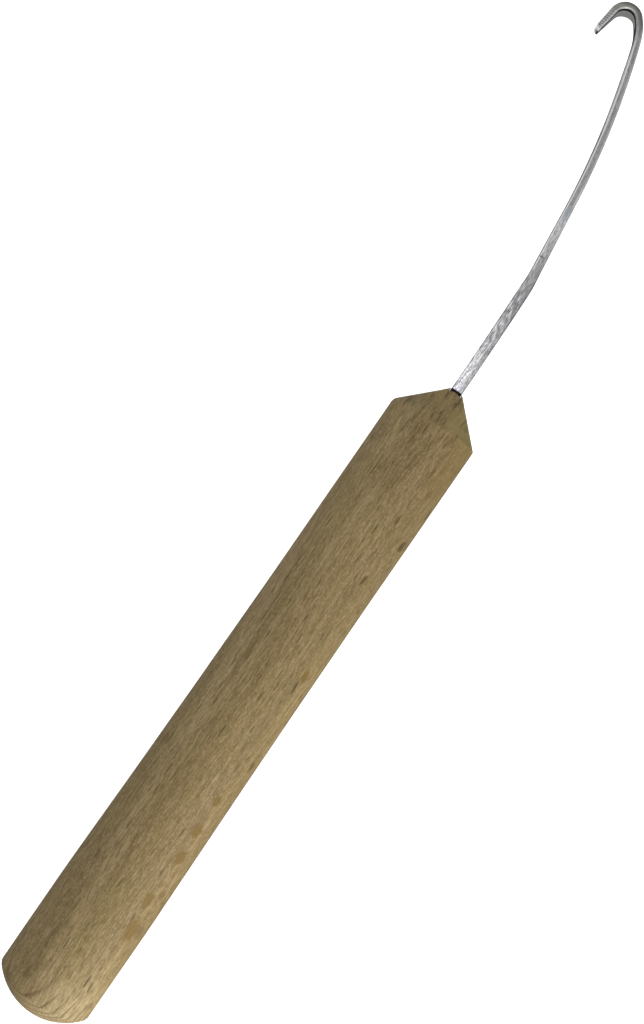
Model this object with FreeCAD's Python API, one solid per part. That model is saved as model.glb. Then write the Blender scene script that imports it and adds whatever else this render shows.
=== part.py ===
"""Hooked hive tool: a turned beech handle with a one-piece steel hook blade driven into its nose.

Frame, in millimetres: the handle is turned about the X axis and the origin is at its mid-length.
+X runs towards the hook. The steel is bent in the XY plane and the hook opens towards the handle
on the +Y side. +Z is square to the plane of the hook, so the tool lies on its side on the XY plane.
"""

import FreeCAD, Part
import math
import os

# Handle: a turned round of beech, swelling a little towards the butt.
HANDLE_LENGTH = 191.9
GRIP_DIAMETER = 24.9        # the parallel front stretch
SWELL_DIAMETER = 26.9       # the parallel stretch at the butt
SWELL_LENGTH = 24.0
FRONT_LENGTH = 35.0         # parallel stretch behind the nose shoulder
WAIST_BACK_PULL = 0.12      # shape of the curve between the two, as shares of its length:
WAIST_FRONT_PULL = 0.55     # how long it stays near the swell's and the front's diameter
DOME_RADIUS = 17.3          # spherical end of the butt
DOME_RIM_RADIUS = 0.9       # rounding where the dome meets the swell
NOSE_TIP_DIAMETER = 3.7     # flat end that the steel comes out of
NOSE_HALF_ANGLE = 45.0      # degrees, slope of the nose against the axis
SHOULDER_RADIUS = 1.7       # rounding between the grip and the nose

# Tang: the hidden tapered end of the steel, and the pilot hole that it was driven into.
TANG_LENGTH = 60.0
TANG_TIP_THICKNESS = 1.9
TANG_TIP_WIDTH = 2.2
PILOT_DIAMETER = 3.0
PILOT_EXTRA_DEPTH = 4.0     # hole left empty past the end of the tang

# Steel bar: thickness lies in the plane of the bend, width is square to it.
SHANK_THICKNESS = 3.2
SHANK_WIDTH = 4.6
NECK_THICKNESS = 2.7        # after the first bend, where the forging starts
BLADE_THICKNESS = 2.2       # where the sweep starts
HOOK_THICKNESS = 1.8        # hook bend and the root of the return arm
BLADE_WIDTH = 6.4
TIP_THICKNESS = 1.55
TIP_WIDTH = 2.8

# The line of the bar from the nose of the handle: each run's length, and the angle it turns.
SHANK_RUN, SHANK_TURN = 31.0, 1.35
SET_RUN, SET_TURN = 5.0, 5.2
NECK_RUN = 19.6
SWEEP_RUN, SWEEP_TURN = 44.7, 11.8
LEAD_RUN, LEAD_TURN = 6.7, 23.6
HOOK_BEND_RADIUS, HOOK_TURN = 3.63, 128.0
ARM_RUN = 6.55

# Return arm: forged down to a narrow pick in its first stretch, its end ground a little off square.
ARM_NECK_RUN = 3.5          # length over which the bar narrows from BLADE_WIDTH
TIP_CUT_ANGLE = 10.0        # degrees off square, leaving the inner corner proud
TIP_CORNER_RADIUS = 0.8

AXIS_X = FreeCAD.Vector(1, 0, 0)
AXIS_Z = FreeCAD.Vector(0, 0, 1)
CUT_MARGIN = 5.0            # how far a cutting tool stands past the metal it removes


def nose_x():
    """The plane where the steel leaves the wood."""
    return HANDLE_LENGTH / 2


def point(x, y, z=0.0):
    return FreeCAD.Vector(x, y, z)


def polygon(points):
    """A closed face through points that lie in one plane."""
    return Part.Face(Part.makePolygon(points + points[:1]))


def circles_at(shape, x, radius):
    """The edges of a turned shape that are circles of that radius in the plane at x."""
    found = []
    for edge in shape.Edges:
        if edge.Degenerated or not isinstance(edge.Curve, Part.Circle):
            continue
        if math.hypot(edge.Curve.Radius - radius, edge.Curve.Center.x - x) < 1e-6:
            found.append(edge)
    return found


def handle_blank():
    """The turned handle before the mortise: butt dome, swell, waist, parallel front and cone nose."""
    back, front = -HANDLE_LENGTH / 2, HANDLE_LENGTH / 2
    swell_r, grip_r, tip_r = SWELL_DIAMETER / 2, GRIP_DIAMETER / 2, NOSE_TIP_DIAMETER / 2
    dome_depth = DOME_RADIUS - math.sqrt(DOME_RADIUS**2 - swell_r**2)
    dome_mid = math.asin(swell_r / DOME_RADIUS) / 2
    rim_x = back + dome_depth
    swell_x = rim_x + SWELL_LENGTH
    shoulder_x = front - (grip_r - tip_r) / math.tan(math.radians(NOSE_HALF_ANGLE))
    waist_x = shoulder_x - FRONT_LENGTH
    dome_mid_point = point(
        back + DOME_RADIUS * (1 - math.cos(dome_mid)), DOME_RADIUS * math.sin(dome_mid)
    )
    # The waist is one fair curve, tangent to both parallel stretches.
    reach = waist_x - swell_x
    waist = Part.BezierCurve()
    waist.setPoles([
        point(swell_x, swell_r),
        point(swell_x + WAIST_BACK_PULL * reach, swell_r),
        point(waist_x - WAIST_FRONT_PULL * reach, grip_r),
        point(waist_x, grip_r),
    ])
    edges = [
        Part.Arc(point(back, 0), dome_mid_point, point(rim_x, swell_r)).toShape(),
        Part.makeLine(point(rim_x, swell_r), point(swell_x, swell_r)),
        waist.toShape(),
        Part.makeLine(point(waist_x, grip_r), point(shoulder_x, grip_r)),
        Part.makeLine(point(shoulder_x, grip_r), point(front, tip_r)),
        Part.makeLine(point(front, tip_r), point(front, 0)),
        Part.makeLine(point(front, 0), point(back, 0)),
    ]
    blank = Part.Face(Part.Wire(edges)).revolve(point(0, 0), AXIS_X, 360)
    blank = blank.makeFillet(DOME_RIM_RADIUS, circles_at(blank, rim_x, swell_r))
    return blank.makeFillet(SHOULDER_RADIUS, circles_at(blank, shoulder_x, grip_r))


def bar_section(x, thickness, width):
    """A rectangle across the X axis, centred on it."""
    half_y, half_z = thickness / 2, width / 2
    corners = [(-half_y, -half_z), (half_y, -half_z), (half_y, half_z), (-half_y, half_z)]
    points = [point(x, y, z) for y, z in corners]
    return Part.makePolygon(points + points[:1])


def tang():
    """The tapered end of the bar inside the handle."""
    tip = bar_section(nose_x() - TANG_LENGTH, TANG_TIP_THICKNESS, TANG_TIP_WIDTH)
    mouth = bar_section(nose_x(), SHANK_THICKNESS, SHANK_WIDTH)
    return Part.makeLoft([tip, mouth], True, True)


def mortise():
    """What the steel leaves in the wood: its own tapered seat around a deeper pilot hole."""
    depth = TANG_LENGTH + PILOT_EXTRA_DEPTH
    pilot = Part.makeCylinder(PILOT_DIAMETER / 2, depth, point(nose_x() - depth, 0), AXIS_X)
    return tang().fuse(pilot).removeSplitter()


def beech_handle():
    return handle_blank().cut(mortise())


def bar_runs():
    """Each run of the bar as (length, turn in degrees, thickness at its start, at its end)."""
    hook_run = HOOK_BEND_RADIUS * math.radians(HOOK_TURN)
    return [
        (SHANK_RUN, SHANK_TURN, SHANK_THICKNESS, SHANK_THICKNESS),
        (SET_RUN, SET_TURN, SHANK_THICKNESS, NECK_THICKNESS),
        (NECK_RUN, 0.0, NECK_THICKNESS, BLADE_THICKNESS),
        (SWEEP_RUN, SWEEP_TURN, BLADE_THICKNESS, HOOK_THICKNESS),
        (LEAD_RUN, LEAD_TURN, HOOK_THICKNESS, HOOK_THICKNESS),
        (hook_run, HOOK_TURN, HOOK_THICKNESS, HOOK_THICKNESS),
        (ARM_RUN, 0.0, HOOK_THICKNESS, TIP_THICKNESS),
    ]


def advance(place, heading, length, turn):
    """The end of a run that starts at place, going along heading (radians) and turning by turn."""
    if turn == 0:
        step = point(math.cos(heading), math.sin(heading)) * length
        return place + step, heading
    radius = length / turn
    centre = place + point(-math.sin(heading), math.cos(heading)) * radius
    heading += turn
    return centre + point(math.sin(heading), -math.cos(heading)) * radius, heading


def offset(place, heading, distance):
    """A point to the left of the line at place; a negative distance is to its right."""
    return place + point(-math.sin(heading), math.cos(heading)) * distance


def side_edge(stations, side):
    """One side of a run, through its start, middle and end stations."""
    ends = [offset(place, heading, side * thick / 2) for place, heading, thick in stations]
    start, middle, end = ends
    if stations[0][1] == stations[2][1]:
        return Part.makeLine(start, end)
    return Part.Arc(start, middle, end).toShape()


def bar_line():
    """The start, middle and end stations of each run, from the nose of the handle to the tip."""
    place, heading = point(nose_x(), 0), 0.0
    line = []
    for length, turn_degrees, thick_start, thick_end in bar_runs():
        turn = math.radians(turn_degrees)
        middle, middle_heading = advance(place, heading, length / 2, turn / 2)
        end, end_heading = advance(place, heading, length, turn)
        line.append([
            (place, heading, thick_start),
            (middle, middle_heading, (thick_start + thick_end) / 2),
            (end, end_heading, thick_end),
        ])
        place, heading = end, end_heading
    return line


def bar_outline():
    """The bent bar seen square to its bend, with the off-square cut and rounded corner at its tip."""
    line = bar_line()
    left = [side_edge(stations, 1) for stations in line]
    right = [side_edge(stations, -1) for stations in line]
    place, heading, _ = line[0][0]
    root = Part.makeLine(
        offset(place, heading, -SHANK_THICKNESS / 2), offset(place, heading, SHANK_THICKNESS / 2)
    )
    place, heading, _ = line[-1][2]
    tip = Part.makeLine(
        offset(place, heading, TIP_THICKNESS / 2), offset(place, heading, -TIP_THICKNESS / 2)
    )
    edges = Part.__sortEdges__([root, *left, tip, *right])
    return Part.Face(Part.Wire(edges))


def tip_cutter():
    """Takes the end of the arm off square, so that its inner corner ends up the longest."""
    place, heading, _ = bar_line()[-1][2]
    inner = offset(place, heading, TIP_THICKNESS / 2)
    lean = heading + math.pi / 2 + math.radians(TIP_CUT_ANGLE)
    along = point(math.cos(lean), math.sin(lean)) * CUT_MARGIN
    outward = point(math.cos(heading), math.sin(heading)) * CUT_MARGIN
    corners = [inner + along, inner - along, inner - along + outward, inner + along + outward]
    low = [corner - AXIS_Z * CUT_MARGIN * 2 for corner in corners]
    return polygon(low).extrude(AXIS_Z * CUT_MARGIN * 4)


def shank_cutters():
    """Bring the bar from BLADE_WIDTH down to SHANK_WIDTH between the sweep and the handle."""
    wide, narrow = BLADE_WIDTH / 2, SHANK_WIDTH / 2
    set_start = bar_line()[1][0][0].x
    neck_end = bar_line()[2][2][0].x
    reach = CUT_MARGIN * 4
    cutters = []
    for side in (1, -1):
        corners = [
            point(nose_x() - CUT_MARGIN, -reach, side * narrow),
            point(set_start, -reach, side * narrow),
            point(neck_end, -reach, side * wide),
            point(neck_end, -reach, side * (wide + CUT_MARGIN)),
            point(nose_x() - CUT_MARGIN, -reach, side * (wide + CUT_MARGIN)),
        ]
        cutters.append(polygon(corners).extrude(point(0, 2 * reach)))
    return cutters


def arm_cutters():
    """Narrow the return arm to a pick, over its first stretch and then gently to the tip."""
    place, heading, _ = bar_line()[-1][0]
    along = point(math.cos(heading), math.sin(heading))
    start = offset(place, heading, -CUT_MARGIN / 2)
    across = offset(point(0, 0), heading, CUT_MARGIN)
    wide, tip = BLADE_WIDTH / 2, TIP_WIDTH / 2
    pick = (tip * 2 + wide) / 3
    end = ARM_RUN + CUT_MARGIN
    cutters = []
    for side in (1, -1):
        corners = [
            start + AXIS_Z * side * wide,
            start + along * ARM_NECK_RUN + AXIS_Z * side * pick,
            start + along * end + AXIS_Z * side * tip,
            start + along * end + AXIS_Z * side * (wide + CUT_MARGIN),
            start + AXIS_Z * side * (wide + CUT_MARGIN),
        ]
        cutters.append(polygon(corners).extrude(across))
    return cutters


def outer_tip_edge(bar):
    """The edge along the width at the outer corner of the tip, which is ground round."""
    place, heading, _ = bar_line()[-1][2]
    outer = offset(place, heading, -TIP_THICKNESS / 2)
    upright = [e for e in bar.Edges if e.BoundBox.ZLength > TIP_WIDTH / 2]
    return min(upright, key=lambda edge: (edge.CenterOfMass - outer).Length)


def hook_blade():
    """The whole steel piece: tang, shank, swept neck, hook bend and return arm."""
    bar = bar_outline().extrude(AXIS_Z * BLADE_WIDTH)
    bar.translate(AXIS_Z * (-BLADE_WIDTH / 2))
    for cutter in [tip_cutter(), *shank_cutters(), *arm_cutters()]:
        bar = bar.cut(cutter)
    bar = bar.makeFillet(TIP_CORNER_RADIUS, [outer_tip_edge(bar)])
    return bar.fuse(tang()).removeSplitter()


def export(name, shape):
    """Writes one sub-part, after making sure that it is one closed solid."""
    solids = shape.Solids
    if len(solids) != 1 or not solids[0].isValid():
        raise RuntimeError(f"{name} is {len(solids)} solids, valid {[s.isValid() for s in solids]}")
    solids[0].exportStep(f"parts/{name}.step")
    box = solids[0].BoundBox
    print(f"{name}: {solids[0].Volume:.1f} mm3, X {box.XMin:.2f} to {box.XMax:.2f},"
          f" Y {box.YMin:.2f} to {box.YMax:.2f}, Z {box.ZMin:.2f} to {box.ZMax:.2f}")


os.makedirs("parts", exist_ok=True)
export("beech_handle", beech_handle())
export("hook_blade", hook_blade())
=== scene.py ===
"""Looks of the hooked hive tool: a beech handle and a bent steel blade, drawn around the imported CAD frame.

Both CAD pieces are replaced by finer meshes inside the same box. The row frame: X runs along the handle
to the hook, the steel is bent in the XY plane and opens towards +Y, and +Z is square to the hook.
"""
import math
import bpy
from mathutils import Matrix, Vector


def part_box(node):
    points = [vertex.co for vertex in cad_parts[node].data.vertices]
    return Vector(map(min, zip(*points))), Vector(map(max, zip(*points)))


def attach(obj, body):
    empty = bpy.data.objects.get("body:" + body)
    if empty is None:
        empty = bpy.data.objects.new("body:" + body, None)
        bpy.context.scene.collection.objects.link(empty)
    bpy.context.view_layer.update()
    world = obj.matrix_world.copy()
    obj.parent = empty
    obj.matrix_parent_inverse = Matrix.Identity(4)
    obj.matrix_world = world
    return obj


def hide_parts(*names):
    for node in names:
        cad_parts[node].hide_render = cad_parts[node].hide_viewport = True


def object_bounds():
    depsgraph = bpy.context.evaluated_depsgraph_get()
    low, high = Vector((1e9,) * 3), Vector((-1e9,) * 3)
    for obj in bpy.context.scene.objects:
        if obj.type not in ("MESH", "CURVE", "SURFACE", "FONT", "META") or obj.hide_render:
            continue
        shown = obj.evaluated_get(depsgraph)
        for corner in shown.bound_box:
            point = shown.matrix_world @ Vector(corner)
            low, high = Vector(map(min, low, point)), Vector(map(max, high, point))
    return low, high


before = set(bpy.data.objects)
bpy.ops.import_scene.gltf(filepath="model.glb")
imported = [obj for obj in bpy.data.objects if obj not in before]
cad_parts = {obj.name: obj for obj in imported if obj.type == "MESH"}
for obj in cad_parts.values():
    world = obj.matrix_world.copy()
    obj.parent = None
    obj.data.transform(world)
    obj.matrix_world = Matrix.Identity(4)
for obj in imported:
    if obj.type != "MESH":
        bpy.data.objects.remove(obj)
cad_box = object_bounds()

from types import SimpleNamespace

import bpy
import numpy as np
from mathutils import Vector, noise

MM = 0.001

# ---------------------------------------------------------------- sizes that the looks share with the CAD
handle_low, handle_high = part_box("beech_handle")
blade_low, blade_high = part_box("hook_blade")
BUTT_X, NOSE_X = handle_low.x, handle_high.x
SWELL_RADIUS = handle_high.z
GRIP_RADIUS = 12.45 * MM
SWELL_LENGTH = 24.0 * MM
FRONT_LENGTH = 35.0 * MM
WAIST_BACK_PULL, WAIST_FRONT_PULL = 0.12, 0.55
DOME_RADIUS = 17.3 * MM
DOME_RIM_RADIUS = 0.9 * MM
NOSE_TIP_RADIUS = 1.85 * MM
NOSE_SLOPE = 1.0                      # rise of the nose against its run
SHOULDER_RADIUS = 1.7 * MM
SWELL_END_X = BUTT_X + DOME_RADIUS - math.sqrt(DOME_RADIUS**2 - SWELL_RADIUS**2) + SWELL_LENGTH
SHOULDER_X = NOSE_X - (GRIP_RADIUS - NOSE_TIP_RADIUS) / NOSE_SLOPE
WAIST_END_X = SHOULDER_X - FRONT_LENGTH

SHANK_THICKNESS, SHANK_WIDTH = 3.2 * MM, 4.6 * MM
NECK_THICKNESS, BLADE_THICKNESS = 2.7 * MM, 2.2 * MM
HOOK_THICKNESS, TIP_THICKNESS = 1.8 * MM, 1.55 * MM
BLADE_WIDTH = blade_high.z - blade_low.z
TIP_WIDTH = 2.8 * MM
ARM_NECK_RUN = 3.5 * MM
TIP_CUT = math.tan(math.radians(10.0))
TIP_CORNER_RADIUS = 0.8 * MM
HOOK_BEND_RADIUS, HOOK_TURN = 3.63 * MM, 128.0
# Runs of the bar's line from the nose: length, turn in degrees, thickness at the start and the end.
RUNS = [
    (31.0 * MM, 1.35, SHANK_THICKNESS, SHANK_THICKNESS),
    (5.0 * MM, 5.2, SHANK_THICKNESS, NECK_THICKNESS),
    (19.6 * MM, 0.0, NECK_THICKNESS, BLADE_THICKNESS),
    (44.7 * MM, 11.8, BLADE_THICKNESS, HOOK_THICKNESS),
    (6.7 * MM, 23.6, HOOK_THICKNESS, HOOK_THICKNESS),
    (HOOK_BEND_RADIUS * math.radians(HOOK_TURN), HOOK_TURN, HOOK_THICKNESS, HOOK_THICKNESS),
    (6.55 * MM, 0.0, HOOK_THICKNESS, TIP_THICKNESS),
]
BAR_LENGTH = sum(run[0] for run in RUNS)
SET_START = RUNS[0][0]
NECK_END = sum(run[0] for run in RUNS[:3])
ARM_START = BAR_LENGTH - RUNS[-1][0]
HOOK_START = ARM_START - RUNS[-2][0]

# ---------------------------------------------------------------- sizes of the looks alone
SHOULDER_UNEVEN = 0.6 * MM            # the shoulder is rounded more on +Y than on -Y, by this either way
MOUTH_BLEND = 1.7 * MM                # last stretch, where the round nose turns into the mortise's mouth
MOUTH_GAP = 0.10 * MM                 # between the steel and the wood
MOUTH_DEPTH = 4.0 * MM
MOUTH_LIP = 0.12 * MM                 # depth of the broken edge inside the mouth
MOUTH_LIP_SHARE, MOUTH_END_SHARE = 0.985, 0.97   # the pocket's size at the lip and at its end
MOUTH_SINK = 0.03 * MM                # how far the blend lies below the true nose
MOUTH_SHARPNESS = 14.0                # power of the rounded rectangle: higher is squarer
WOOD_WAVE, WOOD_GRAIN = 0.045 * MM, 0.012 * MM   # relief that turning and the grain leave
WOOD_RELIEF_RADIUS = 3 * MM           # nearer the axis than this, the relief fades out

# Points along the handle's profile, stretch by stretch, and around it.
DOME_STEPS, RIM_STEPS, SWELL_STEPS, WAIST_STEPS = 44, 8, 28, 120
FRONT_STEPS, SHOULDER_STEPS, NOSE_STEPS, MOUTH_STEPS = 40, 12, 22, 9
AROUND = 216
DOME_FIRST_ANGLE = 0.004              # radians off the axis, where the dome's first ring of points is

# How far the bar's long edges are broken, mm.
INNER_BREAK_SHANK, INNER_BREAK_MORE, INNER_BREAK_LESS = 0.22, 0.38, 0.25
OUTER_BREAK_SHANK, OUTER_BREAK_LESS = 0.40, 0.06
REAR_BREAK = 0.22 * MM
REAR_BEVEL = 0.75                     # share of the half section that is rounded off just before the hook
PICK_DRESSED_RUN, PICK_DRESSED = 1.0 * MM, 0.10   # the pick's last stretch, and how much narrower it ends
TIP_CUT_RUN = 2.6 * MM                # over this last stretch the rows of points lean into the tip's cut
FORGED, DRAWN, FILED = 0.024 * MM, 0.010 * MM, 0.014 * MM   # depths of the marks in the steel
FILE_PITCH = 0.60 * MM
FILE_START = BAR_LENGTH - 6.4 * MM
FILE_FADE = 0.8 * MM
ROW_PITCH, FINE_ROW_PITCH = 0.25 * MM, 0.10 * MM
FINE_ROWS = 9 * MM                    # before the return arm, where the rows of points get closer
ROUND_STEPS, FACE_STEPS = 5, 8

RING_NORMAL_TILT = math.radians(28.0)   # the growth rings lie nearly flat, leaning to the +Y side
RING_RISE = 0.035                       # how much the rings climb along the handle
RING_WIDTH = 1.9                        # mm
RING_DEPTH = 12.0                       # mm from the axis to one of the rings' dark lines
RING_LINE = 0.95                        # where in a year's growth its dark line is
RINGS_INSIDE = 20                       # rings counted inside that line, so that no count is negative
PITH_DISTANCE = 75.0                    # mm below the axis, so the rings curve a little
# Large ray flecks on the -Y side: where they are along and across the handle, their length and height, mm.
RAY_FLECKS = [
    (-62.0, -10.2, 8.6, 3.2), (-53.5, -9.7, 6.0, 2.4), (-40.2, -10.2, 5.2, 2.5),
    (-32.5, -9.8, 4.4, 2.5), (-23.5, -9.5, 3.8, 1.9), (14.5, -9.8, 4.4, 2.2),
]

FLOOR_REACH = 4.0
FLOOR_GAP = 0.2 * MM                  # below the CAD box
FLOOR_GLOW, FLOOR_TONE = 0.88, 0.85
SKY, SKY_BELOW = 0.60, 0.37
KEY_POWER, TOP_POWER, EDGE_POWER = 1.28, 0.24, 0.22

VIEW_HEIGHT = 0.381
VIEW_TARGET = Vector((0.05101, 0.01089, 0.0))
VIEW_FOOT_Y = -0.00241
VIEW_TURN = math.radians(55.37)       # the handle rises from lower left to upper right
VIEW_LENS = 52.2


# ---------------------------------------------------------------- small helpers
def smooth(low, high, value):
    """0 below low, 1 above high and an S-curve between them."""
    share = np.clip((value - low) / (high - low), 0.0, 1.0)
    return float(share * share * (3 - 2 * share))


def grid_mesh(name, points):
    """A tube with flat ends through rows of points of equal length, each row closed."""
    rows, columns = points.shape[:2]
    faces = []
    for i in range(rows - 1):
        for j in range(columns):
            k = (j + 1) % columns
            faces.append((i * columns + j, i * columns + k, (i + 1) * columns + k, (i + 1) * columns + j))
    faces.append(tuple(reversed(range(columns))))
    faces.append(tuple((rows - 1) * columns + j for j in range(columns)))
    mesh = bpy.data.meshes.new(name)
    mesh.from_pydata(points.reshape(-1, 3).tolist(), [], faces)
    mesh.update()
    piece = bpy.data.objects.new(name, mesh)
    bpy.context.scene.collection.objects.link(piece)
    for polygon in mesh.polygons:
        polygon.use_smooth = len(polygon.vertices) == 4
    return piece


def store(piece, name, values):
    """A vector for each vertex, that the piece's material reads by name."""
    layer = piece.data.attributes.new(name, "FLOAT_VECTOR", "POINT")
    layer.data.foreach_set("vector", np.asarray(values, np.float32).reshape(-1))


def finish_piece(piece, material, node):
    piece.data.materials.append(material)
    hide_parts(node)
    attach(piece, "root")


# ---------------------------------------------------------------- shader nodes
def rgb(red, green, blue):
    return (red, green, blue, 1.0)


class Shader:
    """Short ways to add nodes to a material. Most methods return the new node's output socket."""

    def __init__(self, owner):
        owner.use_nodes = True
        self.tree = owner.node_tree
        self.tree.nodes.clear()

    def node(self, kind, inputs, **settings):
        node = self.tree.nodes.new(kind)
        for key, value in settings.items():
            setattr(node, key, value)
        for key, value in inputs.items():
            if isinstance(value, bpy.types.NodeSocket):
                self.tree.links.new(value, node.inputs[key])
            else:
                node.inputs[key].default_value = value
        return node

    def add(self, kind, inputs, output=0, **settings):
        return self.node(kind, inputs, **settings).outputs[output]

    def math(self, operation, *values):
        return self.add("ShaderNodeMath", dict(enumerate(values)), operation=operation)

    def times(self, first, *others):
        """The product of all the values."""
        for value in others:
            first = self.math("MULTIPLY", first, value)
        return first

    def most(self, first, *others):
        """The largest of all the values."""
        for value in others:
            first = self.math("MAXIMUM", first, value)
        return first

    def hypot(self, first, second):
        squares = self.math("POWER", first, 2.0), self.math("POWER", second, 2.0)
        return self.math("SQRT", self.math("ADD", *squares))

    def vector(self, operation, *values, output=0):
        return self.add("ShaderNodeVectorMath", dict(enumerate(values)), output, operation=operation)

    def scaled(self, vector, factor):
        return self.add("ShaderNodeVectorMath", {0: vector, "Scale": factor}, operation="SCALE")

    def dot(self, vector, direction):
        return self.vector("DOT_PRODUCT", vector, direction, output="Value")

    def split(self, vector):
        return self.node("ShaderNodeSeparateXYZ", {0: vector}).outputs

    def join(self, x, y, z):
        return self.add("ShaderNodeCombineXYZ", {0: x, 1: y, 2: z})

    def noise(self, vector, density, detail=2.0, roughness=0.5, output="Fac"):
        """Noise over a vector in mm. density is how many of its cells there are to a mm, axis by axis."""
        cells = self.vector("MULTIPLY", vector, density)
        inputs = {"Vector": cells, "Scale": 1.0, "Detail": detail, "Roughness": roughness}
        return self.add("ShaderNodeTexNoise", inputs, output)

    def ease(self, value, low, high, start=0.0, end=1.0):
        """A smooth step from start, at low, to end, at high."""
        inputs = {"Value": value, "From Min": low, "From Max": high, "To Min": start, "To Max": end}
        return self.add("ShaderNodeMapRange", inputs, interpolation_type="SMOOTHSTEP")

    def window(self, value, low, high, soft):
        """1 between low and high, with soft sides outside them."""
        return self.times(self.ease(value, low - soft, low), self.ease(value, high, high + soft, 1.0, 0.0))

    def mix(self, share, first, second):
        """first where share is 0, second where it is 1. Inputs 6 and 7 are the node's two colours."""
        return self.add("ShaderNodeMix", {0: share, 6: first, 7: second}, 2, data_type="RGBA")

    def paint(self, color, tone, *shares):
        """color, covered by tone as far as the product of the shares says."""
        return self.mix(self.times(*shares), color, rgb(*tone))

    def surface(self, inputs):
        shader = self.add("ShaderNodeBsdfPrincipled", inputs)
        self.node("ShaderNodeOutputMaterial", {"Surface": shader})


# ---------------------------------------------------------------- beech
# Places on the wood are in mm: along the handle from its middle, and to the side, which is the row's Y.
def wood_places(s):
    """Where a point of the wood is: as it stands, and in coordinates that are bent with the grain."""
    w = SimpleNamespace()
    w.place = s.scaled(s.add("ShaderNodeTexCoord", {}, "Object"), 1 / MM)
    middle = (0.5, 0.5, 0.5)
    wander = s.vector("SUBTRACT", s.noise(w.place, (0.011, 0.05, 0.05), 1.0, output="Color"), middle)
    ripple = s.vector("SUBTRACT", s.noise(w.place, (0.07, 0.25, 0.25), 1.0, output="Color"), middle)
    wander = s.vector("MULTIPLY", wander, (0.0, 5.0, 5.0))
    ripple = s.vector("MULTIPLY", ripple, (0.0, 1.0, 1.0))
    # The grain is straighter at the butt.
    bending = s.ease(s.split(w.place)[0], -90.0, -70.0, 0.10, 1.0)
    w.bent = s.vector("ADD", w.place, s.scaled(s.vector("ADD", wander, ripple), bending))
    w.along, w.side, _ = s.split(w.bent)
    lean = RING_NORMAL_TILT
    # Towards the butt the rings dip, and close to arches on the surface.
    dip = s.ease(w.along, -96.0, -78.0, 2.5, 0.0)
    w.radial = s.math("SUBTRACT", s.dot(w.bent, (RING_RISE, math.sin(lean), math.cos(lean))), dip)
    w.tangent = s.dot(w.bent, (0.0, math.cos(lean), -math.sin(lean)))
    w.dome = s.ease(w.along, -89.0, -82.0, 1.0, 0.0)
    w.fibre = s.noise(w.bent, (0.30, 2.5, 2.5), 3.0, 0.65)
    w.grit = s.noise(w.place, (1.4, 2.4, 2.4), 2.0, 0.6)
    return w


def growth_rings(s, w):
    """Each year's own shade, its darkening late growth, and the dark line that it ends in."""
    from_pith = s.hypot(s.math("ADD", w.radial, PITH_DISTANCE), w.tangent)
    first_ring = PITH_DISTANCE + RING_DEPTH - RINGS_INSIDE * RING_WIDTH
    ring = s.math("DIVIDE", s.math("SUBTRACT", from_pith, first_ring), RING_WIDTH)
    ring = s.math("ADD", ring, RING_LINE)
    year = s.math("FRACT", ring)
    season = s.add("ShaderNodeTexWhiteNoise", {"W": s.math("FLOOR", ring)}, "Value", noise_dimensions="1D")
    late_growth = s.ease(year, 0.25, 0.95)
    late_line = s.times(s.ease(year, 0.62, 0.90), s.ease(year, 0.93, 1.0, 1.0, 0.0))
    return season, late_growth, late_line


def rays(s, w, length, thick, deep, reach, offset):
    """Ribbons that run out from the pith. They show as short spindles on top and as flecks at the side."""
    cells = s.join(s.math("DIVIDE", w.along, length), s.math("DIVIDE", w.tangent, thick),
                   s.math("DIVIDE", w.radial, deep))
    cells = s.vector("ADD", cells, (offset, offset, offset))
    cell = s.node("ShaderNodeTexVoronoi", {"Vector": cells, "Scale": 1.0}).outputs
    size, strength, _ = s.split(cell["Color"])
    edge = s.times(s.ease(size, 0.0, 1.0, 0.55, 1.0), reach)
    mask = s.ease(s.math("SUBTRACT", edge, cell["Distance"]), 0.0, reach * 0.40)
    # Most rays are faint, and on the dome all of them are.
    strength = s.times(s.ease(strength, 0.55, 0.95, 0.08, 1.0), s.ease(w.dome, 0.0, 1.0, 1.0, 0.35))
    return s.times(mask, strength)


def ray_flecks(s, w):
    """The large flecks of RAY_FLECKS, as ovals with a ragged edge."""
    ragged = s.ease(s.noise(w.place, (0.8, 1.4, 1.4)), 0.3, 0.7, -0.20, 0.20)
    flecks = 0.0
    for x, y, length, height in RAY_FLECKS:
        across = s.math("DIVIDE", s.math("SUBTRACT", w.side, y), height / 2)
        down = s.math("DIVIDE", s.math("SUBTRACT", w.along, x), length / 2)
        off = s.math("ADD", s.hypot(across, down), ragged)
        flecks = s.most(flecks, s.ease(off, 0.58, 1.0, 1.0, 0.0))
    return flecks


def wood_tones(s, w, color):
    """Slow changes of tone: streaks along the grain, blotches, and a paler butt, partly its tone and partly
    painted light, most on -Y.
    """
    streak = s.noise(w.bent, (0.030, 0.70, 0.70))
    tint = s.noise(w.bent, (0.022, 0.32, 0.32))
    blotch = s.noise(w.place, (0.16, 0.35, 0.35))
    blush = s.noise(w.place, (0.35, 0.6, 0.6), 1.0)
    color = s.paint(color, (0.213, 0.152, 0.063), s.ease(streak, 0.36, 0.60, 0.0, 0.55))
    color = s.paint(color, (0.420, 0.320, 0.165), s.ease(streak, 0.30, 0.38, 0.30, 0.0))
    color = s.paint(color, (0.280, 0.226, 0.087), s.ease(tint, 0.50, 0.62, 0.0, 0.42))
    color = s.paint(color, (0.329, 0.219, 0.119), s.ease(tint, 0.36, 0.46, 0.40, 0.0))
    color = s.paint(color, (0.322, 0.257, 0.109), s.ease(blotch, 0.40, 0.70, 0.0, 0.30))
    color = s.paint(color, (0.371, 0.247, 0.135), s.ease(blush, 0.50, 0.72, 0.0, 0.35))
    # Painted light: the butt is lightened, most on the -Y side where the key light falls; partly its paler
    # tone.
    butt_pale_and_light = s.ease(w.along, -98.0, -62.0, 1.0, 0.0)
    return s.paint(color, (0.490, 0.375, 0.198), butt_pale_and_light, s.ease(w.side, -9.0, 9.0, 0.75, 0.25))


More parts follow.
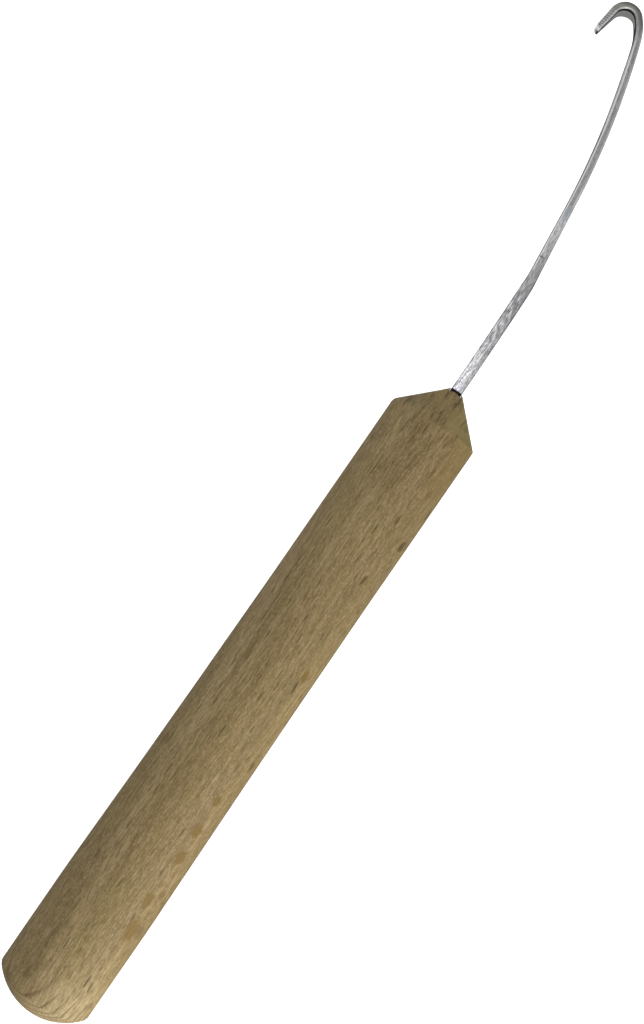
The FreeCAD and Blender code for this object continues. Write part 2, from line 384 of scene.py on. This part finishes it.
def wood_bands(s, w, color):
    """Darker bands of wood on the +Y side, lighter stripes beside them, darker wood low on -Y, and painted
    shade towards the +Y edge.
    """
    # The first band's edge runs across the handle at a slant, and its end at the butt is bowed.
    from_band = s.math("SUBTRACT", w.side, s.math("MULTIPLY_ADD", w.along, 0.087, 11.2))
    bow = s.times(s.math("POWER", s.math("SUBTRACT", w.side, 8.5), 2.0), 0.10)
    first_band = s.times(s.ease(from_band, -0.6, 0.6), s.ease(s.math("SUBTRACT", w.along, bow), -87.3, -86.5))
    second_band = s.times(s.ease(w.side, 5.4, 6.6), s.window(w.along, 2.0, 40.0, 9.0))
    color = s.paint(color, (0.185, 0.132, 0.055), s.most(first_band, second_band), 0.42)

    light = s.most(
        s.window(from_band, -3.8, -1.6, 1.0),
        s.times(s.window(w.side, 1.6, 3.8, 1.0), s.window(w.along, 30.0, 60.0, 8.0)),
        s.times(s.window(w.side, 4.2, 5.6, 0.8), s.window(w.along, -26.0, 22.0, 8.0)),
        s.times(s.window(w.side, 4.8, 7.4, 1.0), s.window(w.along, 74.0, 85.0, 5.0)),
    )
    color = s.paint(color, (0.500, 0.375, 0.200), light, 0.42)

    dark_front = s.times(s.ease(w.side, -9.5, -7.0, 1.0, 0.0), s.ease(w.along, 20.0, 45.0), 0.7)
    dark = s.most(s.times(s.window(w.side, -8.8, -6.8, 1.4), s.ease(w.along, -80.0, -66.0)), dark_front)
    color = s.paint(color, (0.170, 0.122, 0.050), dark, 0.36)
    # Painted shade: the wood darkens towards the +Y edge, the side turned away from the key light.
    return s.paint(color, (0.130, 0.100, 0.052), s.ease(w.side, 8.0, 12.5, 0.0, 0.32))


def wood_ends(s, w, color):
    """The dome, with painted shade on its +Y side and painted light on the other, the dark veins, and a front
    darkened by painted shade.
    """
    # Painted shade on the dome's +Y side.
    dome_shade_share = s.ease(w.along, -91.0, -84.0, 1.0, 0.0)
    color = s.paint(color, (0.150, 0.112, 0.058), dome_shade_share, s.ease(w.side, 1.0, 11.0, 0.04, 0.85))
    # Painted light on the -Y side of the butt.
    butt_pale_and_light = s.ease(w.along, -88.0, -76.0, 1.0, 0.0)
    color = s.paint(color, (0.640, 0.510, 0.290), butt_pale_and_light, s.ease(w.side, -3.0, 2.5, 0.42, 0.0))
    vein = s.noise(w.bent, (0.018, 1.5, 1.5))
    color = s.paint(color, (0.190, 0.140, 0.056), s.ease(vein, 0.52, 0.60, 0.0, 0.34))
    color = s.paint(color, (0.430, 0.335, 0.170), s.ease(vein, 0.36, 0.44, 0.28, 0.0))
    # Painted shade: the front of the grip, far from the key light, is darkened.
    front_shade_share = s.ease(w.along, 58.0, 78.0, 0.0, 0.36)
    return s.paint(color, (0.170, 0.118, 0.046), front_shade_share, s.window(w.side, -6.5, 4.0, 3.0))


def wood_fibres(s, w, color):
    """Fine fibres and pores."""
    thread = s.noise(w.bent, (0.40, 3.8, 3.8), 1.0)
    color = s.paint(color, (0.164, 0.113, 0.044), s.ease(w.fibre, 0.34, 0.54, 0.50, 0.0))
    color = s.paint(color, (0.462, 0.351, 0.182), s.ease(w.fibre, 0.52, 0.68, 0.0, 0.42))
    color = s.paint(color, (0.168, 0.115, 0.044), s.ease(thread, 0.38, 0.50, 0.35, 0.0))
    color = s.paint(color, (0.196, 0.142, 0.061), s.ease(w.grit, 0.52, 0.64, 0.0, 0.40))
    return s.paint(color, (0.462, 0.361, 0.205), s.ease(w.grit, 0.36, 0.47, 0.36, 0.0))


def wood_nose(s, w, color):
    """The nose, cut across the grain: greener on -Y, lightened all over by painted light and darker on +Y by
    painted shade, with an orange patch behind it.
    """
    nose = s.ease(w.along, 84.0, 86.5)
    color = s.paint(color, (0.370, 0.300, 0.100), nose, s.ease(w.side, -5.0, -1.5, 0.50, 0.0))
    # Painted light: the whole nose is lightened, as the key light reaches its slope less.
    color = s.paint(color, (0.440, 0.330, 0.140), nose, 0.16)
    # Painted shade on the nose's +Y side.
    color = s.paint(color, (0.130, 0.118, 0.062), nose, s.ease(w.side, 4.0, 8.0, 0.0, 0.45))
    low_side = s.ease(w.side, -9.5, -6.0, 1.0, 0.0)
    color = s.paint(color, (0.235, 0.148, 0.044), s.window(w.along, 72.0, 84.0, 6.0), low_side, 0.28)
    # Long ragged cracks, with lighter wood beside them, run through the front and down the nose.
    crack = s.noise(w.place, (0.20, 1.15, 0.10), 3.0, 0.6)
    cracked = s.times(s.ease(w.along, 60.0, 82.0), s.ease(w.side, -9.0, -6.0, 0.35, 1.0))
    color = s.paint(color, (0.110, 0.070, 0.026), s.ease(crack, 0.34, 0.46, 0.62, 0.0), cracked)
    return s.paint(color, (0.420, 0.315, 0.150), s.ease(crack, 0.54, 0.66, 0.0, 0.34), cracked)


def beech():
    material = bpy.data.materials.new("beech")
    s = Shader(material)
    w = wood_places(s)
    season, late_growth, late_line = growth_rings(s, w)
    long_rays = rays(s, w, 5.6, 0.42, 9.0, 0.46, 0.0)
    short_rays = rays(s, w, 2.6, 0.36, 5.0, 0.46, 7.3)
    third_rays = rays(s, w, 4.6, 0.46, 7.0, 0.44, 31.7)
    broad_rays = rays(s, w, 4.2, 2.2, 5.0, 0.42, 13.1)

    color = s.mix(season, rgb(0.311, 0.220, 0.096), rgb(0.350, 0.250, 0.111))
    color = s.paint(color, (0.273, 0.189, 0.079), late_growth, 0.25)
    color = wood_tones(s, w, color)
    color = wood_bands(s, w, color)
    color = wood_ends(s, w, color)
    color = wood_fibres(s, w, color)
    color = s.paint(color, (0.112, 0.073, 0.025), short_rays, 0.42)
    color = s.paint(color, (0.115, 0.075, 0.026), third_rays, 0.48)
    color = s.paint(color, (0.087, 0.056, 0.018), long_rays, 0.82)
    color = s.paint(color, (0.193, 0.115, 0.036), broad_rays, s.ease(w.side, -9.0, -6.5, 1.0, 0.0), 0.55)
    color = s.paint(color, (0.195, 0.122, 0.030), ray_flecks(s, w), 0.85)
    color = s.paint(color, (0.150, 0.100, 0.038), late_line, s.ease(w.dome, 0.0, 1.0, 0.14, 0.72))
    color = wood_nose(s, w, color)

    height = s.math("ADD", s.times(w.fibre, 0.8), s.times(w.grit, 0.4))
    height = s.math("SUBTRACT", height, s.times(long_rays, 0.6))
    height = s.math("SUBTRACT", height, s.times(short_rays, 0.4))
    s.surface({
        "Base Color": color,
        "Roughness": s.ease(w.fibre, 0.35, 0.65, 0.66, 0.52),
        "Specular IOR Level": 0.20,
        "Normal": s.add("ShaderNodeBump", {"Strength": 0.7, "Distance": 0.12 * MM, "Height": height}),
    })
    return material


def dome_points():
    """The butt's dome and its rounded rim, from the axis to the swell, as (x, r) in the row frame."""
    centre_x = BUTT_X + DOME_RADIUS
    # The rim arc touches the dome from inside and the swell line.
    rim_r = SWELL_RADIUS - DOME_RIM_RADIUS
    rim_x = centre_x - math.sqrt((DOME_RADIUS - DOME_RIM_RADIUS)**2 - rim_r**2)
    join_angle = math.atan2(rim_r, centre_x - rim_x)
    dome = [(centre_x - DOME_RADIUS * math.cos(a), DOME_RADIUS * math.sin(a))
            for a in np.linspace(DOME_FIRST_ANGLE, join_angle, DOME_STEPS)]
    rim = [(rim_x - DOME_RIM_RADIUS * math.cos(a), rim_r + DOME_RIM_RADIUS * math.sin(a))
           for a in np.linspace(join_angle, math.pi / 2, RIM_STEPS)[1:]]
    return dome + rim


def waist_points():
    """The long curve from the swell to the front, both of which it leaves in line."""
    span = WAIST_END_X - SWELL_END_X
    poles = ((SWELL_END_X, SWELL_RADIUS), (SWELL_END_X + WAIST_BACK_PULL * span, SWELL_RADIUS),
             (WAIST_END_X - WAIST_FRONT_PULL * span, GRIP_RADIUS), (WAIST_END_X, GRIP_RADIUS))
    points = []
    for u in np.linspace(0, 1, WAIST_STEPS)[1:]:
        weights = ((1 - u)**3, 3 * u * (1 - u)**2, 3 * u * u * (1 - u), u**3)
        points.append(tuple(sum(w * p[i] for w, p in zip(weights, poles)) for i in (0, 1)))
    return points


def shoulder_points(radius):
    """The rounding between the grip and the nose."""
    slope = math.atan(NOSE_SLOPE)
    start_x = SHOULDER_X - radius * math.tan(slope / 2)
    return [(start_x + radius * math.sin(a), GRIP_RADIUS - radius * (1 - math.cos(a)))
            for a in np.linspace(0, slope, SHOULDER_STEPS)]


def handle_profile(shoulder_radius):
    """(x, r) from the butt to the nose's mouth. The number of points is the same for every radius."""
    dome = dome_points()
    shoulder = shoulder_points(shoulder_radius)
    swell = [(x, SWELL_RADIUS) for x in np.linspace(dome[-1][0], SWELL_END_X, SWELL_STEPS)[1:]]
    front = [(x, GRIP_RADIUS) for x in np.linspace(WAIST_END_X, shoulder[0][0], FRONT_STEPS)[1:-1]]
    slope_start = np.array(shoulder[-1])
    slope_end = np.array((NOSE_X - MOUTH_BLEND, NOSE_TIP_RADIUS + MOUTH_BLEND * NOSE_SLOPE))
    nose = [tuple(slope_start * (1 - u) + slope_end * u) for u in np.linspace(0, 1, NOSE_STEPS)[1:]]
    return dome + swell + waist_points() + front + shoulder + nose


def mouth_outline(angle):
    """A point of the mortise's mouth, a rectangle with rounded corners, in the direction of angle."""
    half_y, half_z = SHANK_THICKNESS / 2 + MOUTH_GAP, SHANK_WIDTH / 2 + MOUTH_GAP
    c, n = math.cos(angle), math.sin(angle)
    scale = (abs(c / half_y)**MOUTH_SHARPNESS + abs(n / half_z)**MOUTH_SHARPNESS) ** (-1 / MOUTH_SHARPNESS)
    return c * scale, n * scale


def nose_surface(y, z):
    """The nose's x over a point across the axis: its flat end, and the slope around it."""
    return NOSE_X - max(0.0, math.hypot(y, z) - NOSE_TIP_RADIUS) / NOSE_SLOPE


def wood_relief(x, y, z):
    """How far the turned and sanded surface stands off the true one, never proud of it."""
    wave = noise.noise(Vector((x * 45, y * 90, z * 90)))
    grain = noise.noise(Vector((x * 110, y * 1500, z * 1500)))
    return (wave - 1.0) * WOOD_WAVE + (grain - 1.0) * WOOD_GRAIN


def handle_line(angle):
    """The handle's surface in the direction of angle, from the butt to the end of the mouth's pocket."""
    c, n = math.cos(angle), math.sin(angle)
    line = []
    for x, r in handle_profile(SHOULDER_RADIUS + SHOULDER_UNEVEN * c):
        r_here = r + min(1.0, r / WOOD_RELIEF_RADIUS) * wood_relief(x, r * c, r * n)
        line.append((x, r_here * c, r_here * n))
    rim_y, rim_z = line[-1][1:]
    mouth_y, mouth_z = mouth_outline(angle)
    for u in np.linspace(0, 1, MOUTH_STEPS)[1:]:
        y, z = rim_y + (mouth_y - rim_y) * u, rim_z + (mouth_z - rim_z) * u
        line.append((nose_surface(y, z) - MOUTH_SINK, y, z))
    line.append((line[-1][0] - MOUTH_LIP, mouth_y * MOUTH_LIP_SHARE, mouth_z * MOUTH_LIP_SHARE))
    line.append((NOSE_X - MOUTH_DEPTH, mouth_y * MOUTH_END_SHARE, mouth_z * MOUTH_END_SHARE))
    return line


def beech_handle():
    lines = [handle_line(angle) for angle in np.linspace(0, 2 * math.pi, AROUND, endpoint=False)]
    piece = grid_mesh("turned_beech_handle", np.array(lines).transpose(1, 0, 2))
    finish_piece(piece, beech(), "beech_handle")


# ---------------------------------------------------------------- steel
def advance(place, heading, length, turn):
    """The end of a run that starts at place, going along heading and turning by turn."""
    if abs(turn) < 1e-9:
        return place + Vector((math.cos(heading), math.sin(heading))) * length, heading
    radius = length / turn
    centre = place + Vector((-math.sin(heading), math.cos(heading))) * radius
    heading += turn
    return centre + Vector((math.sin(heading), -math.cos(heading))) * radius, heading


def bar_places(lengths):
    """Centre line points, headings and thicknesses of the bar at each length from the nose."""
    starts, place, heading, start = [], Vector((NOSE_X, 0.0)), 0.0, 0.0
    for length, turn, thick_start, thick_end in RUNS:
        starts.append((start, place, heading, length, math.radians(turn), thick_start, thick_end))
        place, heading = advance(place, heading, length, math.radians(turn))
        start += length
    out = []
    for value in lengths:
        run = max((r for r in starts if r[0] <= max(value, 0.0)), key=lambda r: r[0])
        begin, place, heading, length, turn, thick_start, thick_end = run
        share = (value - begin) / length
        here, heading = advance(place, heading, value - begin, turn * max(share, 0.0))
        out.append((here, heading, thick_start + (thick_end - thick_start) * min(max(share, 0.0), 1.0)))
    return out


def bar_width(value):
    """The bar's width at a length from the nose: forged wider past the shank, then a narrow pick."""
    if value <= ARM_START:
        return SHANK_WIDTH + (BLADE_WIDTH - SHANK_WIDTH) * smooth(SET_START, NECK_END, value)
    pick = (TIP_WIDTH * 2 + BLADE_WIDTH) / 3
    share = (value - ARM_START) / ARM_NECK_RUN
    if share < 1:
        return BLADE_WIDTH + (pick - BLADE_WIDTH) * share
    rest = (value - ARM_START - ARM_NECK_RUN) / (BAR_LENGTH - ARM_START - ARM_NECK_RUN)
    return pick + (TIP_WIDTH - pick) * rest


def edge_breaks(length):
    """How far the inner and the outer front edge are broken, and the rear bevel's share, at a length."""
    inner = (INNER_BREAK_SHANK + INNER_BREAK_MORE * smooth(SET_START + 3 * MM, NECK_END - 8 * MM, length)
             - INNER_BREAK_LESS * smooth(HOOK_START - 8 * MM, HOOK_START, length))
    outer = OUTER_BREAK_SHANK - OUTER_BREAK_LESS * smooth(SET_START, NECK_END, length)
    rear = REAR_BEVEL * (smooth(HOOK_START - 16 * MM, HOOK_START - 6 * MM, length)
                         * (1 - smooth(HOOK_START, HOOK_START + 4 * MM, length)))
    return inner * MM, outer * MM, rear


def corner(centre, radii, start):
    """A quarter of an ellipse, from start degrees on, anticlockwise."""
    angles = np.radians(np.linspace(start, start + 90, ROUND_STEPS))
    return [(centre[0] + radii[0] * math.cos(a), centre[1] + radii[1] * math.sin(a)) for a in angles]


def bar_outline(thickness, width, inner_break, outer_break, rear_bevel):
    """The bar's section, anticlockwise from its inner front corner, as (across, up) points.

    across is + on the inner side of the bend, and up is + on the front. Its long edges are broken, and
    rear_bevel, from 0 to 1, rounds the rear edge of the inner side.
    """
    a, b = thickness / 2, width / 2
    back = min(REAR_BREAK, a * 0.3)
    inner, outer = min(inner_break, a * 0.55), min(outer_break, a * 0.7)
    rear = (back + (a - back) * rear_bevel, back + (b - back) * rear_bevel)
    corners = [
        corner((a - inner, b - inner * 0.8), (inner, inner * 0.8), 0),
        corner((-(a - outer), b - outer * 0.7), (outer, outer * 0.7), 90),
        corner((-(a - back), -(b - back)), (back, back), 180),
        corner((a - rear[0], -(b - rear[1])), rear, 270),
    ]
    outline = []
    for points, following in zip(corners, corners[1:] + corners[:1]):
        outline += points
        (x, y), (next_x, next_y) = points[-1], following[0]
        for u in np.linspace(0, 1, FACE_STEPS + 1)[1:-1]:
            outline.append((x + (next_x - x) * u, y + (next_y - y) * u))
    return outline


def steel_relief(length, across, up):
    """Hammer, drawing and file marks: how far the surface stands off the true one, never proud of it."""
    forged = noise.noise(Vector((length * 160, across * 250, up * 160))) - 1.5
    drawn = noise.noise(Vector((length * 90, across * 2600, up * 2600))) - 0.6
    filed = smooth(FILE_START, FILE_START + FILE_FADE, length)
    stroke = math.sin(2 * math.pi * (length + up * 0.12) / FILE_PITCH) - 1.0
    return forged * FORGED + drawn * DRAWN + filed * stroke * FILED


def tip_setback(across, thickness):
    """How much sooner than the inner corner the bar ends, at a place across its thickness."""
    cut = (thickness / 2 - across) * TIP_CUT
    into_corner = max(0.0, TIP_CORNER_RADIUS - (thickness / 2 + across))
    rounding = TIP_CORNER_RADIUS - math.sqrt(max(0.0, TIP_CORNER_RADIUS**2 - into_corner**2))
    return cut + rounding


def bar_row(length, place, heading, thickness):
    """The section at a length: its points, where they are on the bar, and how deep from its faces, mm."""
    width = bar_width(length) * (1 - PICK_DRESSED * smooth(BAR_LENGTH - PICK_DRESSED_RUN, BAR_LENGTH, length))
    side = Vector((-math.sin(heading), math.cos(heading)))
    ahead = Vector((math.cos(heading), math.sin(heading)))
    cut_share = smooth(BAR_LENGTH - TIP_CUT_RUN, BAR_LENGTH, length)
    row, local, depth = [], [], []
    for across, up in bar_outline(thickness, width, *edge_breaks(length)):
        grow = 1 + steel_relief(length, across, up) / math.hypot(across, up)
        spot = place + side * across * grow - ahead * tip_setback(across, thickness) * cut_share
        row.append((spot.x, spot.y, up * grow))
        local.append((length / MM, across / MM, up / MM))
        depth.append(((width / 2 - up) / MM, (thickness / 2 - across) / MM, (thickness / 2 + across) / MM))
    return row, local, depth


def steel_blade():
    inside = -MOUTH_DEPTH * 0.9
    lengths = list(np.arange(inside, ARM_START - FINE_ROWS, ROW_PITCH))
    lengths += list(np.arange(ARM_START - FINE_ROWS, BAR_LENGTH, FINE_ROW_PITCH)) + [BAR_LENGTH]
    rows = [bar_row(length, *place) for length, place in zip(lengths, bar_places(lengths))]
    points, local, depths = zip(*rows)
    piece = grid_mesh("forged_hook_blade", np.array(points))
    store(piece, "bar", local)
    store(piece, "depth", depths)
    finish_piece(piece, bright_steel(), "hook_blade")


# Places on the steel are in mm too: along the bar from the nose, across its thickness, and the depths
# from its front face, its inner side and its outer side.
def steel_places(s):
    b = SimpleNamespace()
    b.place = s.add("ShaderNodeAttribute", {}, "Vector", attribute_name="bar")
    b.along, b.across, _ = s.split(b.place)
    depths = s.add("ShaderNodeAttribute", {}, "Vector", attribute_name="depth")
    b.from_front, b.from_inner, b.from_outer = s.split(depths)
    b.inner_face = s.ease(b.from_inner, 0.12, 0.30, 1.0, 0.0)
    b.shank = s.ease(b.along, SET_START / MM, NECK_END / MM - 8.0, 1.0, 0.0)
    b.blade = s.math("SUBTRACT", 1.0, b.shank)
    b.scratch = s.noise(b.place, (0.60, 3.6, 3.6))
    b.mottle = s.noise(b.place, (1.3, 2.2, 2.2), 3.0, 0.6)
    return b


def steel_ground(s, b):
    """The bare metal: drawing lines, mottle and a faint blue cloud."""
    drawn = s.noise(b.place, (0.06, 2.4, 2.4))
    cloud = s.noise(b.place, (0.12, 0.3, 0.3), 1.0)
    color = s.mix(s.ease(drawn, 0.35, 0.65), rgb(0.371, 0.371, 0.374), rgb(0.476, 0.476, 0.479))
    color = s.paint(color, (0.224, 0.224, 0.227), s.ease(b.mottle, 0.48, 0.62, 0.0, 0.50))
    color = s.paint(color, (0.595, 0.595, 0.602), s.ease(b.mottle, 0.34, 0.44, 0.15, 0.0))
    return s.paint(color, (0.350, 0.364, 0.392), s.ease(cloud, 0.45, 0.7, 0.0, 0.25))


def steel_shank(s, b, color):
    """The shank: a painted highlight at its root, darker at its end, painted shade on the outer part of its
    front, and scratched.
    """
    # Painted reflection: the steel is brightened towards its root.
    color = s.paint(color, (0.850, 0.840, 0.870), s.ease(b.along, 0.0, 20.0, 0.62, 0.0))
    color = s.paint(color, (0.185, 0.185, 0.190), s.window(b.along, 25.0, 40.0, 8.0), 0.62)
    grain = s.ease(b.along, 20.0, 40.0, 0.82, 0.34)
    color = s.paint(color, (0.150, 0.150, 0.160), s.ease(b.scratch, 0.39, 0.49, 1.0, 0.0), grain)
    color = s.paint(color, (0.640, 0.640, 0.650), s.ease(b.scratch, 0.52, 0.62), grain)
    front = s.ease(b.from_front, 0.15, 0.45, 1.0, 0.0)
    # Painted shade: a darker band on the front face along its outer edge.
    outer_band_shade = s.times(s.window(b.from_outer, 0.45, 1.05, 0.35), front)
    return s.paint(color, (0.182, 0.182, 0.185), outer_band_shade, s.ease(b.shank, 0.0, 1.0, 0.20, 0.50))


def steel_edges(s, b, color):
    """Painted highlights on the blade's edges, the inner one and the outer one, and a painted dark line of
    shade behind the inner one.
    """
    # Painted highlight along the inner front edge and the strip of inner side beside it.
    corner_strip = s.times(s.window(b.from_inner, 0.26, 0.48, 0.10),
                           s.ease(b.from_front, 0.30, 0.42, 1.0, 0.0), 0.92)
    side_strip = s.times(s.ease(b.from_inner, 0.12, 0.24, 1.0, 0.0),
                         s.window(b.from_front, 0.40, 2.60, 0.40), 0.85)
    inner_edge_highlight = s.times(s.most(corner_strip, side_strip), s.ease(b.along, 98.0, 104.0, 1.0, 0.0))
    color = s.paint(color, (0.95, 0.95, 0.95), inner_edge_highlight, b.blade)
    # Painted highlight along the outer edge.
    outer = s.times(s.ease(b.from_outer, 0.20, 0.62, 1.0, 0.0), b.blade)
    color = s.paint(color, (0.90, 0.90, 0.90), outer, 0.38)
    # Painted shade: a dark line on the inner side behind the highlight, and lower down the blade.
    behind = s.times(s.ease(b.from_inner, 0.12, 0.24, 1.0, 0.0), s.ease(b.from_front, 2.5, 3.2))
    low_line = s.times(s.ease(b.from_inner, 0.10, 0.24, 1.0, 0.0), s.window(b.along, 44.0, 74.0, 8.0))
    return s.paint(color, (0.080, 0.080, 0.085), s.most(behind, low_line), b.blade, 0.82)


def steel_hook(s, b, color):
    """The hook: greener and darker, darkest at its outer edge, filed at the arm, with a painted highlight
    along its inner edge.
    """
    color = s.paint(color, (0.231, 0.238, 0.203), s.ease(b.along, 100.0, 109.0), 0.45)
    color = s.paint(color, (0.434, 0.448, 0.336), s.window(b.along, 110.0, 113.0, 1.6), 0.40)
    rim = s.times(s.window(b.along, 105.0, 111.5, 3.0), s.ease(b.from_outer, 0.40, 1.40, 1.0, 0.0))
    color = s.paint(color, (0.077, 0.077, 0.084), rim, 0.70)
    filed = s.ease(b.along, FILE_START / MM, FILE_START / MM + 1.0)
    slanted = s.math("ADD", b.along, s.times(b.across, 0.3))
    wave = s.math("SINE", s.times(slanted, 2 * math.pi / (FILE_PITCH / MM)))
    color = s.paint(color, (0.620, 0.620, 0.610), filed, 0.45)
    color = s.paint(color, (0.090, 0.090, 0.090), filed, s.ease(wave, -1.0, 1.0), 0.72)
    # Painted highlight along the hook's inner front edge.
    hook_edge_highlight = s.times(s.ease(b.from_inner, 0.30, 0.50, 1.0, 0.0), s.ease(b.from_front, 0.30, 0.45, 1.0, 0.0))
    color = s.paint(color, (0.651, 0.651, 0.630), hook_edge_highlight, s.ease(b.along, 104.0, 112.0, 0.0, 0.8))
    # Its inner face is a plain grey below the front.
    grey = s.times(b.inner_face, s.ease(b.from_front, 1.4, 2.0))
    return s.paint(color, (0.560, 0.560, 0.532), grey, s.ease(b.along, 100.0, 106.0, 0.0, 0.8))


def steel_marks(s, b, color):
    """Temper colours, blue on the neck with a pale glint beside it and violet at the root, and a nick."""
    blue = s.times(s.window(b.along, 51.6, 54.2, 0.7), s.window(b.from_inner, 0.7, 1.9, 0.35))
    color = s.paint(color, (0.300, 0.345, 0.400), blue, 0.45)
    glint = s.times(s.window(b.along, 56.0, 60.0, 1.2), s.ease(b.from_outer, 0.30, 0.75, 1.0, 0.0))
    color = s.paint(color, (0.679, 0.679, 0.679), glint, 0.80)
    violet = s.times(s.ease(b.along, 0.5, 3.5, 1.0, 0.0), s.ease(b.mottle, 0.40, 0.60))
    color = s.paint(color, (0.364, 0.322, 0.504), violet, 0.35)
    nick = s.times(s.window(b.along, 40.4, 40.6, 0.15), s.window(b.from_inner, 0.4, 1.3, 0.2))
    return s.paint(color, (0.056, 0.056, 0.056), nick, 0.8)


def steel_pick(s, b, color):
    """The end of the pick: painted highlights by its inner side and on its rounded outer corner, and painted
    shade at the point.
    """
    end = BAR_LENGTH / MM
    # Painted highlight near the end, by the inner side.
    tip_highlight = s.times(s.window(b.along, end - 0.85, end - 0.30, 0.15), s.window(b.from_inner, 0.15, 0.95, 0.2))
    color = s.paint(color, (0.900, 0.900, 0.900), tip_highlight, 0.9)
    # Painted highlight on the rounded outer corner.
    corner_highlight = s.times(s.ease(b.along, end - 1.3, end - 0.9), s.ease(b.from_outer, 0.6, 1.1, 1.0, 0.0))
    color = s.paint(color, (0.950, 0.950, 0.950), corner_highlight, 0.85)
    # Painted shade at the point, on the inner side.
    point = s.times(s.ease(b.along, end - 0.30, end - 0.10), s.ease(b.from_inner, 0.3, 0.7, 1.0, 0.0))
    return s.paint(color, (0.056, 0.056, 0.056), point, 0.85)


def black_shade_lines(s, b):
    """Where black shade is painted: high on the hook's inner face, just before the hook, and at the wood."""
    hook_line = s.times(s.window(b.from_front, 0.38, 1.75, 0.22), b.inner_face, s.ease(b.along, 100.0, 104.0))
    edge_line = s.times(s.window(b.along, 97.5, 104.0, 2.0), s.ease(b.from_inner, 0.14, 0.30, 1.0, 0.0),
                        s.window(b.from_front, 1.30, 3.80, 0.50))
    return s.most(hook_line, edge_line, s.ease(b.along, -0.02, 0.10, 1.0, 0.0))


def bright_steel():
    material = bpy.data.materials.new("bright_steel")
    s = Shader(material)
    b = steel_places(s)
    color = steel_ground(s, b)
    color = steel_shank(s, b, color)
    color = steel_edges(s, b, color)
    color = steel_hook(s, b, color)
    color = steel_marks(s, b, color)
    color = steel_pick(s, b, color)
    black = black_shade_lines(s, b)
    # Painted shade, nearly black, over the steel.
    color = s.paint(color, (0.008, 0.008, 0.008), black, 0.97)

    height = s.math("ADD", s.times(b.scratch, 0.8), s.times(b.mottle, 0.6))
    s.surface({
        "Base Color": color,
        "Metallic": 1.0,
        "Roughness": s.math("ADD", s.ease(b.mottle, 0.3, 0.7, 0.30, 0.42), s.times(black, 0.3)),
        "Normal": s.add("ShaderNodeBump", {"Strength": 0.5, "Distance": 0.06 * MM, "Height": height}),
    })
    return material


# ---------------------------------------------------------------- floor, light and camera
def floor():
    mesh = bpy.data.meshes.new("floor")
    z = cad_box[0].z - FLOOR_GAP
    reach = FLOOR_REACH
    corners = [(-reach, -reach, z), (reach, -reach, z), (reach, reach, z), (-reach, reach, z)]
    mesh.from_pydata(corners, [], [(0, 1, 2, 3)])
    plane = bpy.data.objects.new("floor", mesh)
    bpy.context.scene.collection.objects.link(plane)
    material = bpy.data.materials.new("pale_floor")
    s = Shader(material)
    glow = s.add("ShaderNodeEmission", {"Color": rgb(1, 1, 1), "Strength": FLOOR_GLOW})
    matt = s.add("ShaderNodeBsdfDiffuse", {"Color": rgb(FLOOR_TONE, FLOOR_TONE, FLOOR_TONE)})
    both = s.add("ShaderNodeAddShader", {0: glow, 1: matt})
    s.node("ShaderNodeOutputMaterial", {"Surface": both})
    mesh.materials.append(material)
    # It is lit like a light table, so it must not light the tool from below.
    plane.visible_diffuse = False
    plane.visible_glossy = False


def sky():
    """Even studio light: pale at the horizon and above, darker from below."""
    world = bpy.data.worlds.new("studio")
    bpy.context.scene.world = world
    s = Shader(world)
    height = s.split(s.add("ShaderNodeTexCoord", {}, "Generated"))[2]
    color = s.mix(s.ease(height, -0.25, 0.05), rgb(SKY_BELOW, SKY_BELOW, SKY_BELOW), rgb(SKY, SKY, SKY))
    back = s.add("ShaderNodeBackground", {"Color": color, "Strength": 1.0})
    s.node("ShaderNodeOutputWorld", {"Surface": back})


def softbox(name, place, target, size, power, color=(1.0, 1.0, 1.0)):
    light = bpy.data.lights.new(name, "AREA")
    light.shape = "RECTANGLE"
    light.size, light.size_y = size
    light.energy = power
    light.color = color
    lamp = bpy.data.objects.new(name, light)
    lamp.location = place
    lamp.rotation_mode = "QUATERNION"
    lamp.rotation_quaternion = (Vector(target) - Vector(place)).to_track_quat("-Z", "Y")
    lamp.visible_camera = False
    bpy.context.scene.collection.objects.link(lamp)


def lights():
    softbox("key", (-0.22, -0.32, 0.12), (-0.04, 0, 0), (0.24, 0.20), KEY_POWER, (1.0, 0.98, 0.94))
    # Placed to be mirrored in the shank.
    softbox("top", (0.150, 0.0, 0.62), (0.05, 0, 0), (0.12, 0.16), TOP_POWER)
    # Placed to be mirrored in the blade's inner edge, where a highlight is painted as well.
    softbox("edge", (0.08, 0.46, 0.05), (0.15, 0, 0), (0.25, 0.10), EDGE_POWER)


def camera():
    data = bpy.data.cameras.new("camera")
    data.sensor_width = 36.0
    data.lens = VIEW_LENS
    data.clip_start = 0.01
    view = bpy.data.objects.new("camera", data)
    place = Vector((VIEW_TARGET.x, VIEW_FOOT_Y, VIEW_HEIGHT))
    ahead = (VIEW_TARGET - place).normalized()
    up = Vector((math.sin(VIEW_TURN), math.cos(VIEW_TURN), 0.0))
    right = ahead.cross(up).normalized()
    up = right.cross(ahead)
    matrix = view.matrix_world.to_3x3()
    for row in range(3):
        matrix[row] = (right[row], up[row], -ahead[row])
    view.location = place
    view.rotation_mode = "QUATERNION"
    view.rotation_quaternion = matrix.to_quaternion()
    bpy.context.scene.collection.objects.link(view)
    bpy.context.scene.camera = view


# ---------------------------------------------------------------- the scene
bpy.context.scene.view_settings.view_transform = "Standard"
beech_handle()
steel_blade()
floor()
sky()
lights()
camera()
